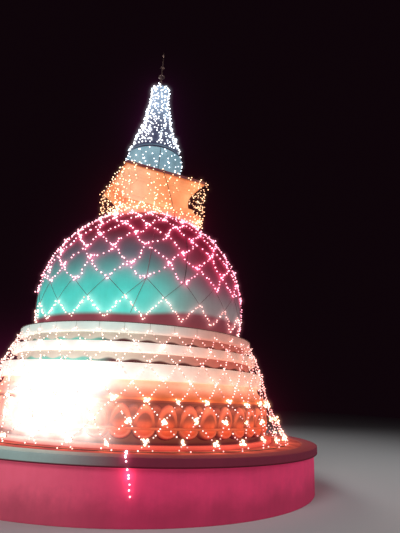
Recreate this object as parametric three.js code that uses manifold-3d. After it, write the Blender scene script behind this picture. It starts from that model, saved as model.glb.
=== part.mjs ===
// A small plastered stupa on a round terrace: plinth, lotus base, three basal rings, bubble dome,
// square harmika with hollowed sides, swelling drum, ringed spire and metal pinnacle.
// Units are millimetres, +Z is up, and the origin is the centre of the plinth's underside at ground level.
// The harmika's four faces look along X and Y.

import * as THREE from "three";
import { mergeVertices } from "three/addons/utils/BufferGeometryUtils.js";
import Module from "manifold-3d";

const wasm = await Module();
wasm.setup();

// Driving dimensions: heights above the ground, then radii and half widths.
const DOME_RADIUS = 2500;
const DOME_CENTRE_Z = 3815;

const PLINTH_WALL_TOP = 785;
const COPING_TOP = 930;
const PAVING_TOP = 915;
const FOOT_COURSE_TOP = 975;
const LOTUS_WAIST_BOTTOM = 1215;
const LOTUS_WAIST_TOP = 1260;
const LOTUS_TOP = 1665;
const BELL_LIP_BOTTOM = 1700;
const CORNICE_3_BOTTOM = 2040;
const CORNICE_3_TOP = 2330;
const CORNICE_2_BOTTOM = 2530;
const CORNICE_2_TOP = 2710;
const CORNICE_1_BOTTOM = 2900;
const CORNICE_1_TOP = 3080;
const HARMIKA_SEAT_Z = 5860;
const HARMIKA_BLOCK_TOP = 6300;
const HARMIKA_COURSE_TOP = 6500;
const HARMIKA_WAIST_Z = 6665;
const HARMIKA_BODY_TOP = 7180;
const HARMIKA_SLAB_TOP = 7270;
const DRUM_TOP = 8100;
const NECK_TOP = 8190;
const SPIRE_TOP = 10440;
const SPIRE_CAP_TOP = 10500;
const PINNACLE_DISH_BOTTOM = 10910;
const PINNACLE_TIP = 11860;

const PLINTH_RADIUS = 4150;
const COPING_RADIUS = 4220;
const PAVING_RADIUS = 3900;
const LOTUS_CORE_RADIUS = 2960;
const CORNICE_1_RADIUS = 2740;
const CORNICE_2_RADIUS = 2865;
const CORNICE_3_RADIUS = 3010;
const RING_RECESS = 140;
const HARMIKA_BLOCK_HALF = 1010;
const HARMIKA_WAIST_HALF = 770;
const HARMIKA_SLAB_HALF = 1085;
const DRUM_FOOT_RADIUS = 620;
const DRUM_RADIUS = 770;
const NECK_RADIUS = 700;
const SPIRE_FOOT_RADIUS = 720;
const SPIRE_TIP_RADIUS = 215;

// Clearance between faces of two pieces that would otherwise lie in one another's rounding error.
const JOINT_GAP = 0.3;

const PETAL_COUNT = 48;
const SPIRE_RING_COUNT = 10;

// Facet counts round the axis.
const WIDE_FACETS = 60;
const SPIRE_FACETS = 24;
const PINNACLE_FACETS = 12;

const QUARTER_TURN = Math.PI / 2;
const FULL_TURN = 2 * Math.PI;

function material(colour, roughness, metalness = 0) {
  return new THREE.MeshStandardMaterial({ color: colour, roughness, metalness });
}

const FINISHES = {
  pinkWash: material(0xe8506e, 0.85),
  greyWash: material(0xb9b4b8, 0.85),
  paving: material(0xa8a29c, 0.9),
  orangeWash: material(0xe8824a, 0.85),
  salmonWash: material(0xdf9d84, 0.85),
  whiteWash: material(0xf4efe2, 0.8),
  tealWash: material(0x58b6ac, 0.8),
  apricotWash: material(0xf2a25c, 0.8),
  maroonWash: material(0x7c4048, 0.8),
  blueWash: material(0x86aec0, 0.75),
  slateWash: material(0x3e4a5c, 0.8),
  agedBrass: material(0xb08d57, 0.4, 0.9),
};

const stupa = new THREE.Group();
stupa.name = "stupa";

function place(name, geometry, finish) {
  const mesh = new THREE.Mesh(geometry, finish);
  mesh.name = name;
  stupa.add(mesh);
  return mesh;
}

// Turns a profile of [radius, height] pairs, which starts and ends on the axis, round +Z.
function turned(profile, facets, start = 0) {
  const points = profile.map(([radius, height]) => new THREE.Vector2(radius, height));
  return new THREE.LatheGeometry(points, facets, start).rotateX(QUARTER_TURN);
}

// The closed outline of a flat disc, as a profile from the axis out and back.
function disc(radius, bottom, top) {
  return [
    [0, bottom],
    [radius, bottom],
    [radius, top],
    [0, top],
  ];
}

// A solid of square plan whose half width follows a profile of [half width, height] pairs.
function squareTurned(profile) {
  const corners = profile.map(([half, height]) => [half * Math.SQRT2, height]);
  return turned(corners, 4, Math.PI / 4);
}

// Points of a curve through [radius, height] stations, evenly spaced along its parameter.
function curveThrough(stations, steps) {
  const curve = new THREE.SplineCurve(stations.map(([r, z]) => new THREE.Vector2(r, z)));
  return curve.getPoints(steps).map((point) => [point.x, point.y]);
}

// A projecting slab of a basal ring: its two edges are eased by the same small chamfer.
function cornice(radius, bottom, top, ease) {
  return [
    [0, bottom],
    [radius - ease, bottom],
    [radius, bottom + ease],
    [radius, top - ease],
    [radius - 1.6 * ease, top],
    [0, top],
  ];
}

function toSolid(geometry) {
  const bare = geometry.clone();
  bare.deleteAttribute("normal");
  bare.deleteAttribute("uv");
  const merged = mergeVertices(bare, 1e-3);
  return new wasm.Manifold(
    new wasm.Mesh({
      numProp: 3,
      vertProperties: merged.attributes.position.array,
      triVerts: new Uint32Array(merged.index.array),
    }),
  );
}

function toGeometry(solid) {
  const mesh = solid.getMesh();
  const geometry = new THREE.BufferGeometry();
  geometry.setAttribute("position", new THREE.BufferAttribute(mesh.vertProperties, 3));
  geometry.setIndex(new THREE.BufferAttribute(mesh.triVerts, 1));
  return geometry;
}

// One lotus petal: an egg whose rounded end shows, leaning out from the axis by a lean angle.
function petal({ width, height, depth, lean, radius, middle, bands, turn }) {
  const egg = new THREE.SphereGeometry(1, 8, bands).rotateX(QUARTER_TURN);
  egg.scale(width / 2, depth / 2, height / 2);
  egg.rotateX(lean);
  egg.translate(0, -radius, middle);
  egg.rotateZ(turn);
  return egg;
}

// A ring of petals fused to the round core that carries them, cut flat at the ring's two ends.
function petalRing(core, petals, bottom, top) {
  const slab = toSolid(turned(disc(2 * LOTUS_CORE_RADIUS, bottom, top), 8));
  const whole = petals.reduce((sum, one) => sum.add(toSolid(one)), toSolid(core));
  return toGeometry(whole.intersect(slab));
}

function petalsRound(count, offset, shape) {
  const step = FULL_TURN / count;
  return Array.from({ length: count }, (_, i) => petal({ ...shape, turn: (i + offset) * step }));
}

function buildPlinth() {
  place("plinth_wall", turned(disc(PLINTH_RADIUS, 0, PLINTH_WALL_TOP), WIDE_FACETS), FINISHES.pinkWash);
  const copingEase = 18;
  const coping = [
    [PAVING_RADIUS + JOINT_GAP, PLINTH_WALL_TOP],
    [COPING_RADIUS, PLINTH_WALL_TOP],
    [COPING_RADIUS, COPING_TOP - copingEase],
    [COPING_RADIUS - copingEase, COPING_TOP],
    [PAVING_RADIUS + JOINT_GAP, COPING_TOP],
    [PAVING_RADIUS + JOINT_GAP, PLINTH_WALL_TOP],
  ];
  place("plinth_coping", turned(coping, WIDE_FACETS), FINISHES.greyWash);
  const paving = disc(PAVING_RADIUS, PLINTH_WALL_TOP, PAVING_TOP);
  place("terrace_paving", turned(paving, WIDE_FACETS), FINISHES.paving);
}

function buildLotusBase() {
  const footRadius = LOTUS_CORE_RADIUS + 290;
  const waistRadius = LOTUS_CORE_RADIUS + 150;
  const foot = disc(footRadius, PAVING_TOP, FOOT_COURSE_TOP);
  place("lotus_foot_course", turned(foot, WIDE_FACETS), FINISHES.orangeWash);

  const lowerReach = 165;
  const lowerPetals = petalsRound(PETAL_COUNT, 0, {
    width: 415,
    height: 2 * lowerReach,
    depth: 400,
    bands: 4,
    lean: THREE.MathUtils.degToRad(-14),
    radius: LOTUS_CORE_RADIUS + 40,
    middle: LOTUS_WAIST_BOTTOM,
  });
  const lowerCore = turned(disc(LOTUS_CORE_RADIUS, FOOT_COURSE_TOP, LOTUS_WAIST_BOTTOM), PETAL_COUNT);
  const lowerRing = petalRing(lowerCore, lowerPetals, FOOT_COURSE_TOP, LOTUS_WAIST_BOTTOM);
  place("lower_lotus_petals", lowerRing, FINISHES.orangeWash);

  const waist = disc(waistRadius, LOTUS_WAIST_BOTTOM, LOTUS_WAIST_TOP);
  place("lotus_waist_band", turned(waist, WIDE_FACETS), FINISHES.orangeWash);

  const upperShape = {
    height: 2 * (LOTUS_TOP - LOTUS_WAIST_TOP) - 20,
    lean: THREE.MathUtils.degToRad(12),
    middle: LOTUS_WAIST_TOP,
  };
  const front = { ...upperShape, width: 415, depth: 360, radius: LOTUS_CORE_RADIUS + 30, bands: 6 };
  const back = { ...upperShape, width: 380, depth: 300, radius: LOTUS_CORE_RADIUS - 10, bands: 4 };
  const upperPetals = [...petalsRound(PETAL_COUNT, 0, front), ...petalsRound(PETAL_COUNT, 0.5, back)];
  const upperCore = turned(disc(LOTUS_CORE_RADIUS, LOTUS_WAIST_TOP, LOTUS_TOP), PETAL_COUNT);
  const upperRing = petalRing(upperCore, upperPetals, LOTUS_WAIST_TOP, LOTUS_TOP);
  place("upper_lotus_petals", upperRing, FINISHES.orangeWash);
}

function buildBasalRings() {
  const ease = 22;
  const flare = curveThrough(
    [
      [CORNICE_3_RADIUS + 130, BELL_LIP_BOTTOM + 50],
      [CORNICE_3_RADIUS + 60, BELL_LIP_BOTTOM + 130],
      [CORNICE_3_RADIUS - 60, CORNICE_3_BOTTOM - 120],
      [CORNICE_3_RADIUS - 95, CORNICE_3_BOTTOM],
    ],
    5,
  );
  const lip = [
    [LOTUS_CORE_RADIUS + 20, LOTUS_TOP],
    [LOTUS_CORE_RADIUS + 20, BELL_LIP_BOTTOM],
    [CORNICE_3_RADIUS + 115, BELL_LIP_BOTTOM],
  ];
  const bell = [[0, LOTUS_TOP], ...lip, ...flare, [0, CORNICE_3_BOTTOM]];
  place("bell_cove", turned(bell, WIDE_FACETS), FINISHES.orangeWash);

  const third = cornice(CORNICE_3_RADIUS, CORNICE_3_BOTTOM, CORNICE_3_TOP, ease);
  place("ring_3_cornice", turned(third, WIDE_FACETS), FINISHES.whiteWash);

  const secondWall = disc(CORNICE_2_RADIUS - RING_RECESS, CORNICE_3_TOP, CORNICE_2_BOTTOM);
  place("ring_2_wall", turned(secondWall, WIDE_FACETS), FINISHES.salmonWash);
  const second = cornice(CORNICE_2_RADIUS, CORNICE_2_BOTTOM, CORNICE_2_TOP, ease);
  place("ring_2_cornice", turned(second, WIDE_FACETS), FINISHES.whiteWash);

  const firstWall = disc(CORNICE_1_RADIUS - RING_RECESS, CORNICE_2_TOP, CORNICE_1_BOTTOM);
  place("ring_1_wall", turned(firstWall, WIDE_FACETS), FINISHES.salmonWash);
  const first = cornice(CORNICE_1_RADIUS, CORNICE_1_BOTTOM, CORNICE_1_TOP, ease);
  place("ring_1_cornice", turned(first, WIDE_FACETS), FINISHES.whiteWash);
}

// The dome is a ball cut flat at its foot, on the top ring, with a square seat for the harmika sunk in its crown.
function buildDome() {
  const footAngle = Math.asin((CORNICE_1_TOP - DOME_CENTRE_Z) / DOME_RADIUS);
  const steps = 15;
  const arc = Array.from({ length: steps }, (_, i) => {
    const angle = THREE.MathUtils.lerp(footAngle, QUARTER_TURN, i / steps);
    return [DOME_RADIUS * Math.cos(angle), DOME_CENTRE_Z + DOME_RADIUS * Math.sin(angle)];
  });
  const ball = [[0, CORNICE_1_TOP], ...arc, [0, DOME_CENTRE_Z + DOME_RADIUS]];
  const seat = disc(HARMIKA_BLOCK_HALF + JOINT_GAP, HARMIKA_SEAT_Z, HARMIKA_BODY_TOP);
  const dome = toSolid(turned(ball, WIDE_FACETS)).subtract(toSolid(squareTurned(seat)));
  place("dome", toGeometry(dome), FINISHES.tealWash);
}

function buildHarmika() {
  const block = disc(HARMIKA_BLOCK_HALF, HARMIKA_SEAT_Z, HARMIKA_BLOCK_TOP);
  place("harmika_base_block", squareTurned(block), FINISHES.apricotWash);
  const course = [
    [0, HARMIKA_BLOCK_TOP],
    [HARMIKA_WAIST_HALF + 165, HARMIKA_BLOCK_TOP],
    [HARMIKA_WAIST_HALF + 90, HARMIKA_COURSE_TOP],
    [0, HARMIKA_COURSE_TOP],
  ];
  place("harmika_lower_course", squareTurned(course), FINISHES.apricotWash);

  const hollow = curveThrough(
    [
      [HARMIKA_WAIST_HALF + 20, HARMIKA_COURSE_TOP],
      [HARMIKA_WAIST_HALF, HARMIKA_WAIST_Z - 60],
      [HARMIKA_WAIST_HALF, HARMIKA_WAIST_Z + 60],
      [HARMIKA_WAIST_HALF + 40, HARMIKA_WAIST_Z + 200],
      [HARMIKA_SLAB_HALF - 95, HARMIKA_BODY_TOP - 70],
      [HARMIKA_SLAB_HALF - 40, HARMIKA_BODY_TOP],
    ],
    12,
  );
  const body = [[0, HARMIKA_COURSE_TOP], ...hollow, [0, HARMIKA_BODY_TOP]];
  place("harmika_hollow_body", squareTurned(body), FINISHES.apricotWash);
  const slab = cornice(HARMIKA_SLAB_HALF, HARMIKA_BODY_TOP, HARMIKA_SLAB_TOP, 10);
  place("harmika_slab", squareTurned(slab), FINISHES.maroonWash);
}

// The drum swells from a narrow foot to a flat rim, and a groove parts it from the spire.
function buildDrum() {
  const rimEase = 8;
  const swell = curveThrough(
    [
      [DRUM_FOOT_RADIUS, HARMIKA_SLAB_TOP],
      [DRUM_RADIUS - 65, HARMIKA_SLAB_TOP + 410],
      [DRUM_RADIUS - 8, DRUM_TOP - 170],
      [DRUM_RADIUS, DRUM_TOP - 45],
    ],
    6,
  );
  const drum = [[0, HARMIKA_SLAB_TOP], ...swell, [DRUM_RADIUS - rimEase, DRUM_TOP], [0, DRUM_TOP]];
  place("spire_drum", turned(drum, SPIRE_FACETS), FINISHES.blueWash);
  place("spire_neck_band", turned(disc(NECK_RADIUS, DRUM_TOP, NECK_TOP), SPIRE_FACETS), FINISHES.slateWash);
}

// The spire's outer radius at a share of its height: it narrows fast at its foot and slowly at its tip.
function spireRadius(share) {
  return SPIRE_TIP_RADIUS + (SPIRE_FOOT_RADIUS - SPIRE_TIP_RADIUS) * (1 - share) ** 1.8;
}

function buildSpire() {
  const ringHeight = (SPIRE_TOP - NECK_TOP) / SPIRE_RING_COUNT;
  const grooveDepth = 22;
  const lipHeight = 0.2 * ringHeight;
  for (let i = 0; i < SPIRE_RING_COUNT; i += 1) {
    const bottom = NECK_TOP + i * ringHeight;
    const top = i === SPIRE_RING_COUNT - 1 ? SPIRE_TOP : bottom + ringHeight;
    const low = spireRadius(i / SPIRE_RING_COUNT);
    const high = spireRadius((i + 1) / SPIRE_RING_COUNT);
    const profile = [
      [0, bottom],
      [low - grooveDepth, bottom],
      [low, bottom + lipHeight],
      [high, top - lipHeight],
      [high - grooveDepth, top],
      [0, top],
    ];
    place(`spire_ring_${i + 1}`, turned(profile, SPIRE_FACETS), FINISHES.blueWash);
  }
  const cap = [
    [0, SPIRE_TOP],
    [SPIRE_TIP_RADIUS + 10, SPIRE_TOP],
    [SPIRE_TIP_RADIUS + 10, SPIRE_TOP + 35],
    [SPIRE_TIP_RADIUS - 60, SPIRE_CAP_TOP],
    [0, SPIRE_CAP_TOP],
  ];
  place("spire_cap", turned(cap, SPIRE_FACETS), FINISHES.blueWash);
}

// The metal pinnacle: a socket on the spire's cap, a stem, a dish, a ball, a thin rod and a pointed crystal.
function buildPinnacle() {
  const socketTop = SPIRE_CAP_TOP + 120;
  const dishTop = PINNACLE_DISH_BOTTOM + 60;
  const ballRadius = 62;
  const ballCentre = PINNACLE_TIP - 590;
  const tipBottom = PINNACLE_TIP - 220;
  const stemRadius = 30;
  const rodRadius = 18;

  const socket = [
    [0, SPIRE_CAP_TOP],
    [95, SPIRE_CAP_TOP],
    [78, SPIRE_CAP_TOP + 35],
    [40, socketTop],
    [0, socketTop],
  ];
  place("pinnacle_socket", turned(socket, PINNACLE_FACETS), FINISHES.agedBrass);
  place("pinnacle_stem", turned(disc(stemRadius, socketTop, PINNACLE_DISH_BOTTOM), PINNACLE_FACETS), FINISHES.agedBrass);
  const dish = [
    [0, PINNACLE_DISH_BOTTOM],
    [34, PINNACLE_DISH_BOTTOM],
    [100, PINNACLE_DISH_BOTTOM + 30],
    [100, PINNACLE_DISH_BOTTOM + 38],
    [30, dishTop],
    [0, dishTop],
  ];
  place("pinnacle_dish", turned(dish, PINNACLE_FACETS), FINISHES.agedBrass);

  const ballBottom = ballCentre - ballRadius;
  const ballTop = ballCentre + ballRadius;
  place("pinnacle_lower_rod", turned(disc(rodRadius + 4, dishTop, ballBottom), PINNACLE_FACETS), FINISHES.agedBrass);
  const half = 0.87 * ballRadius;
  const ball = [
    [0, ballBottom],
    [half * 0.6, ballBottom],
    [half, ballCentre - 0.5 * ballRadius],
    [ballRadius, ballCentre],
    [half, ballCentre + 0.5 * ballRadius],
    [half * 0.6, ballTop],
    [0, ballTop],
  ];
  place("pinnacle_ball", turned(ball, PINNACLE_FACETS), FINISHES.agedBrass);
  place("pinnacle_upper_rod", turned(disc(rodRadius, ballTop, tipBottom), PINNACLE_FACETS), FINISHES.agedBrass);
  const tip = [
    [0, tipBottom],
    [20, tipBottom],
    [38, tipBottom + 70],
    [0, PINNACLE_TIP],
  ];
  place("pinnacle_crystal", turned(tip, PINNACLE_FACETS), FINISHES.agedBrass);
}

buildPlinth();
buildLotusBase();
buildBasalRings();
buildDome();
buildHarmika();
buildDrum();
buildSpire();
buildPinnacle();

export default stupa;
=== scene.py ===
# %% [markdown]
# # A stupa strung with festival lights
#
# A stupa is a solid mound of brick under plaster. This one stands on a round plinth and has, from the
# ground up, a lotus base, three stepped rings, a bubble dome, a square harmika with hollowed sides, a
# swelling drum, a ringed spire and a metal pinnacle. For a festival it is covered in nets of small lights.
#
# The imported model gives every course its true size. Its solids are faceted, so each course that shows is
# turned again here with a fine, smooth surface, at the size that the frame gives.

# %% Load the frame
import math
import random

import bmesh
import bpy
import numpy as np
from mathutils import Matrix, Vector


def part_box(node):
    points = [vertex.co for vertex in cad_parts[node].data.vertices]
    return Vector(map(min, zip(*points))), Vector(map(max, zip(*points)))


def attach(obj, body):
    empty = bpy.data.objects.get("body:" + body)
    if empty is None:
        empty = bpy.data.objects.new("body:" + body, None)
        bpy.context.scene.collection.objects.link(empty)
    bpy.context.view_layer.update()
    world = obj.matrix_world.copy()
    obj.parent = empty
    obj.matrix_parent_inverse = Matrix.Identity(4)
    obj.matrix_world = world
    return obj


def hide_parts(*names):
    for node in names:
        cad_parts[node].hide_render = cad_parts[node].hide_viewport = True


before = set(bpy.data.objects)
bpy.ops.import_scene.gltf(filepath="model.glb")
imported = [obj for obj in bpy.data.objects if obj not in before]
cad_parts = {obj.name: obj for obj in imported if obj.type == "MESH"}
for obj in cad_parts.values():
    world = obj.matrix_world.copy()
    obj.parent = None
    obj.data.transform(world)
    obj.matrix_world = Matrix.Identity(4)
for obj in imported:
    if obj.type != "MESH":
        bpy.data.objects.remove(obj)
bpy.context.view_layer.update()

TURN = 2 * math.pi


def spot(name):
    """A round or square node's outer radius or half width, its underside and its top."""
    low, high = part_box(name)
    return high.x, low.z, high.z


# %% [markdown]
# ## The camera
#
# The camera stands 11 m from the axis, with its lens 1.8 m above the ground, and looks up and a little to
# the right of the spire. The ellipses of the rings give the tilt, and the lean of the spire gives the roll.
# The harmika shows one face nearly square on, so the camera stands 19 degrees to its left.

# %% Camera
CAMERA_DISTANCE = 11.0
CAMERA_HEIGHT = 1.8
CAMERA_AZIMUTH = math.radians(-19.0)
YAW, PITCH, ROLL = (math.radians(angle) for angle in (7.465, 16.673, 2.832))
FOCAL_PIXELS = 434.8
PHOTO_HEIGHT = 533
SENSOR = 36.0
scene = bpy.context.scene
lens = bpy.data.cameras.new("photo_camera")
lens.sensor_width = SENSOR
lens.lens = FOCAL_PIXELS / PHOTO_HEIGHT * SENSOR
camera = bpy.data.objects.new("photo_camera", lens)
scene.collection.objects.link(camera)
scene.camera = camera
level = Matrix.Rotation(math.pi / 2, 4, "X")
pitched = Matrix.Rotation(PITCH, 4, "X") @ level
turned_right = Matrix.Rotation(-YAW, 4, "Z") @ pitched
rolled = turned_right @ Matrix.Rotation(ROLL, 4, "Z")
stand = Matrix.Translation((0, -CAMERA_DISTANCE, CAMERA_HEIGHT))
camera.matrix_world = Matrix.Rotation(CAMERA_AZIMUTH, 4, "Z") @ stand @ rolled
print("camera at", [round(value, 2) for value in camera.matrix_world.translation])

# %% [markdown]
# ## The studio
#
# The floor is plain and pale. The backdrop is a night sky, because small lamps only read as lit against
# something darker than themselves. Three large area lamps give a soft light from every side. It is kept
# low, so that the strings of lights are the brightest thing in the picture.

# %% Floor, lamps and world
FLOOR_HALF = 60.0
FLOOR_PALE = (0.62, 0.62, 0.63, 1)
NIGHT = (0.0043, 0.0014, 0.0028, 1)
LAMP_SIZE = 9.0
LAMP_TARGET = Vector((0, 0, 3.5))
LAMPS = {
    "key_lamp": ((-13, -13, 13), 1500),
    "fill_lamp": ((14, -10, 9), 650),
    "back_lamp": ((2, 16, 12), 900),
}
scene.view_settings.view_transform = "Standard"

world = bpy.data.worlds.new("studio_world")
world.use_nodes = True
world.node_tree.nodes["Background"].inputs["Color"].default_value = NIGHT
scene.world = world

pale = bpy.data.materials.new("studio_floor")
pale.use_nodes = True
pale.node_tree.nodes["Principled BSDF"].inputs["Base Color"].default_value = FLOOR_PALE
pale.node_tree.nodes["Principled BSDF"].inputs["Roughness"].default_value = 0.9
bm = bmesh.new()
bmesh.ops.create_grid(bm, x_segments=8, y_segments=8, size=FLOOR_HALF)
mesh = bpy.data.meshes.new("studio_floor")
bm.to_mesh(mesh)
bm.free()
mesh.materials.append(pale)
floor = bpy.data.objects.new("studio_floor", mesh)
scene.collection.objects.link(floor)

for name, (place, power) in LAMPS.items():
    data = bpy.data.lights.new(name, "AREA")
    data.shape = "DISK"
    data.size = LAMP_SIZE
    data.energy = power
    lamp = bpy.data.objects.new(name, data)
    lamp.location = place
    lamp.rotation_euler = (LAMP_TARGET - Vector(place)).to_track_quat("-Z", "Y").to_euler()
    scene.collection.objects.link(lamp)
print("lamps:", list(LAMPS))

# %% [markdown]
# ## Bloom
#
# A small lit bulb spreads a halo in any lens. It belongs to the lens and not to the lamp, so Glare nodes
# add it after the render: a tight white halo and a wide, faint one that leans to violet.

# %% Lens bloom
def lens_bloom(threshold, strength, size, colour):
    """Adds a soft halo of a colour round whatever is brighter than the threshold."""
    tree = scene.node_tree
    output = next(node for node in tree.nodes if node.type == "COMPOSITE")
    before = output.inputs["Image"].links[0].from_socket
    glare = tree.nodes.new("CompositorNodeGlare")
    glare.glare_type = "BLOOM"
    glare.quality = "HIGH"
    for name, value in (("Threshold", threshold), ("Strength", strength), ("Size", size)):
        glare.inputs[name].default_value = value
    glare.inputs["Tint"].default_value = (*colour, 1)
    tree.links.new(before, glare.inputs["Image"])
    tree.links.new(glare.outputs["Image"], output.inputs["Image"])


scene.use_nodes = True
lens_bloom(threshold=1.0, strength=0.8, size=0.014, colour=(1, 1, 1))
lens_bloom(threshold=1.0, strength=0.2, size=0.22, colour=(1, 0.1, 0.6))
print("bloom nodes:", len(scene.node_tree.nodes))

# %% [markdown]
# ## Shader maths as Python
#
# A finish is a formula of the place on the surface. Nodes can be laid out one by one, but a formula is
# easier to read, so this class wraps a node's output: adding or multiplying two sockets adds the Math node
# that does it. Every other kind of node comes from one method.

# %% The socket class
class Socket:
    """A node's output in a material, with the operators that add Math nodes."""

    def __init__(self, tree, output):
        self.tree = tree
        self.output = output

    def node(self, kind, values=(), out=0, **settings):
        """Adds a node with its settings. Its inputs, in order or by name, come from values or sockets."""
        made = self.tree.nodes.new(kind)
        for name, value in settings.items():
            setattr(made, name, value)
        shown = [socket for socket in made.inputs if socket.enabled]
        pairs = values.items() if isinstance(values, dict) else enumerate(values)
        for key, value in pairs:
            socket = shown[key] if isinstance(key, int) else made.inputs[key]
            if isinstance(value, Socket):
                self.tree.links.new(value.output, socket)
            else:
                socket.default_value = value
        outputs = [socket for socket in made.outputs if socket.enabled]
        return Socket(self.tree, outputs[out])

    def maths(self, operation, *values):
        return self.node("ShaderNodeMath", (self, *values), operation=operation)

    def __add__(self, other):
        return self.maths("ADD", other)

    def __sub__(self, other):
        return self.maths("SUBTRACT", other)

    def __mul__(self, other):
        return self.maths("MULTIPLY", other)

    def __truediv__(self, other):
        return self.maths("DIVIDE", other)

    def __pow__(self, other):
        return self.maths("POWER", other)

    def __rsub__(self, other):
        return self.node("ShaderNodeMath", (other, self), operation="SUBTRACT")

    def __neg__(self):
        return self * -1

    __radd__ = __add__
    __rmul__ = __mul__

    def parts(self):
        """The x, y and z of a place."""
        return [self.node("ShaderNodeSeparateXYZ", (self,), out=axis) for axis in range(3)]

    def ease(self, start, end, low=0.0, high=1.0):
        """Goes smoothly from low, at start, to high, at end."""
        return self.node("ShaderNodeMapRange", (self, start, end, low, high),
                         interpolation_type="SMOOTHSTEP")

    def mix(self, first, second):
        """The first colour at 0 and the second at 1, each a socket or its levels from 0 to 255."""
        colours = [tint(*colour) if isinstance(colour, tuple) else colour for colour in (first, second)]
        return self.node("ShaderNodeMix", (self, *colours), data_type="RGBA")

    def fade(self, start, end, first, second):
        """The first colour up to the start, the second from the end on, and a smooth change between."""
        return self.ease(start, end).mix(first, second)

    def blend(self, way, colour):
        """This colour, multiplied by another or added to it. A plain number stands for a grey."""
        if isinstance(colour, float):
            colour = (colour, colour, colour, 1.0)
        return self.node("ShaderNodeMix", (1.0, self, colour), data_type="RGBA", blend_type=way)

    def noise(self, scale, detail=3.0, roughness=0.55):
        """Soft noise from 0 to 1 at this place, with that many blotches to the metre."""
        return self.node("ShaderNodeTexNoise", {"Vector": self, "Scale": scale, "Detail": detail,
                                                "Roughness": roughness})

    def stored(self, name, out=0):
        """A value that the mesh itself stores under a name."""
        return self.node("ShaderNodeAttribute", attribute_name=name, out=out)


def tint(red, green, blue):
    """A colour as the eye sees it, 0 to 255, in the linear values that a shader needs."""
    return tuple((value / 255) ** 2.2 for value in (red, green, blue)) + (1.0,)


print("tint(255, 128, 0) =", [round(value, 3) for value in tint(255, 128, 0)])

# %% [markdown]
# ## Limewashed plaster
#
# Each course is plaster under a coloured wash. A wash is never even: it is blotched where the wall drank
# it, it has faint runs, and its surface is gritty. One recipe gives those, and each course then has its own
# colours, which are partly its wash and partly the coloured floodlight and shade on it, painted in. A recipe
# is a function from the place on the surface to values for the shader's inputs.
#
# At night the strings light the wall. Real lamps for thousands of bulbs would be slow and noisy, so the
# light of all bulbs is worked out once for each corner of each mesh, near the end, and stored there as the
# colour "bulb_light". The recipe adds that light to the wash as a weak emission.

# %% Making a finish
FINISHES = {}


def add_finish(name, recipe, *choices):
    """Makes a finish from a recipe and its choices."""
    finish = bpy.data.materials.new(name)
    finish.use_nodes = True
    tree = finish.node_tree
    place = Socket(tree, tree.nodes.new("ShaderNodeTexCoord").outputs["Object"])
    inputs = tree.nodes["Principled BSDF"].inputs
    for key, value in recipe(place, *choices).items():
        if isinstance(value, Socket):
            tree.links.new(value.output, inputs[key])
        else:
            inputs[key].default_value = value
    FINISHES[name] = finish
    print("finish:", name)


# %% The plaster recipe
BULB_LIGHT = "bulb_light"
BRIGHT_AZIMUTH = math.radians(-54.0)
DAZZLE_AZIMUTH = math.radians(-47.0)
DAZZLE_POWER = 0.32
GRIT_HEIGHT = 0.0025


def azimuth_at(place):
    """The azimuth of a place, 0 at the front and growing to the right."""
    x, y, _ = place.parts()
    return x.maths("ARCTAN2", -y)


def bright_side(place, toward=BRIGHT_AZIMUTH):
    """1 where the light on the stupa is strongest and 0 a quarter turn away. The back repeats the front."""
    return ((azimuth_at(place) - toward) * 2).maths("COSINE") * 0.5 + 0.5


def dazzled(place):
    """1 where the lower courses shine almost white, with a ragged edge, and 0 elsewhere."""
    _, _, z = place.parts()
    ragged = bright_side(place, DAZZLE_AZIMUTH) + place.noise(2.2, 2) * 0.14 - 0.07
    return ragged.ease(0.8, 0.98) * z.ease(0.85, 1.15) * z.ease(2.8, 2.0)


def plaster(place, colours, lit, veil):
    """Washed plaster, dulled by blotches, runs and grit. Its colours are a function of the place, its height
    and how far it is on the bright side. Lit is how brightly the wash is lit as a whole, and veil is the share
    of a bulb's light that comes back in the bulb's own colour.
    """
    x, y, z = place.parts()
    stretched = place.node("ShaderNodeCombineXYZ", (x * 5, y * 5, z * 0.35))
    blotches = place.noise(1.7, 5)
    runs = stretched.noise(2.4, 3)
    dull = blotches.ease(0.3, 0.72, 0.86, 1.0) * runs.ease(0.35, 0.6, 0.97, 1.0)
    clean = colours(place, z, bright_side(place))
    wash = clean.blend("MULTIPLY", place.node("ShaderNodeCombineColor", (dull, dull, dull)))
    soaked = wash.blend("MULTIPLY", 1 - veil).blend("ADD", veil)
    dazzle = dazzled(place) * DAZZLE_POWER
    cool = place.node("ShaderNodeCombineColor", (dazzle * 0.9, dazzle, dazzle * 1.04))
    light = place.stored(BULB_LIGHT).blend("ADD", cool).blend("MULTIPLY", soaked)
    grain = place.noise(34, 4, 0.6) + blotches * 2.5
    return {
        "Base Color": wash,
        "Emission Color": wash.blend("MULTIPLY", lit).blend("ADD", light),
        "Emission Strength": 1.0,
        "Normal": grain.node("ShaderNodeBump", {"Height": grain, "Distance": GRIT_HEIGHT, "Strength": 0.7}),
        "Roughness": blotches.ease(0.3, 0.7, 0.78, 0.92),
        "Specular IOR Level": 0.25,
    }
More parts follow.
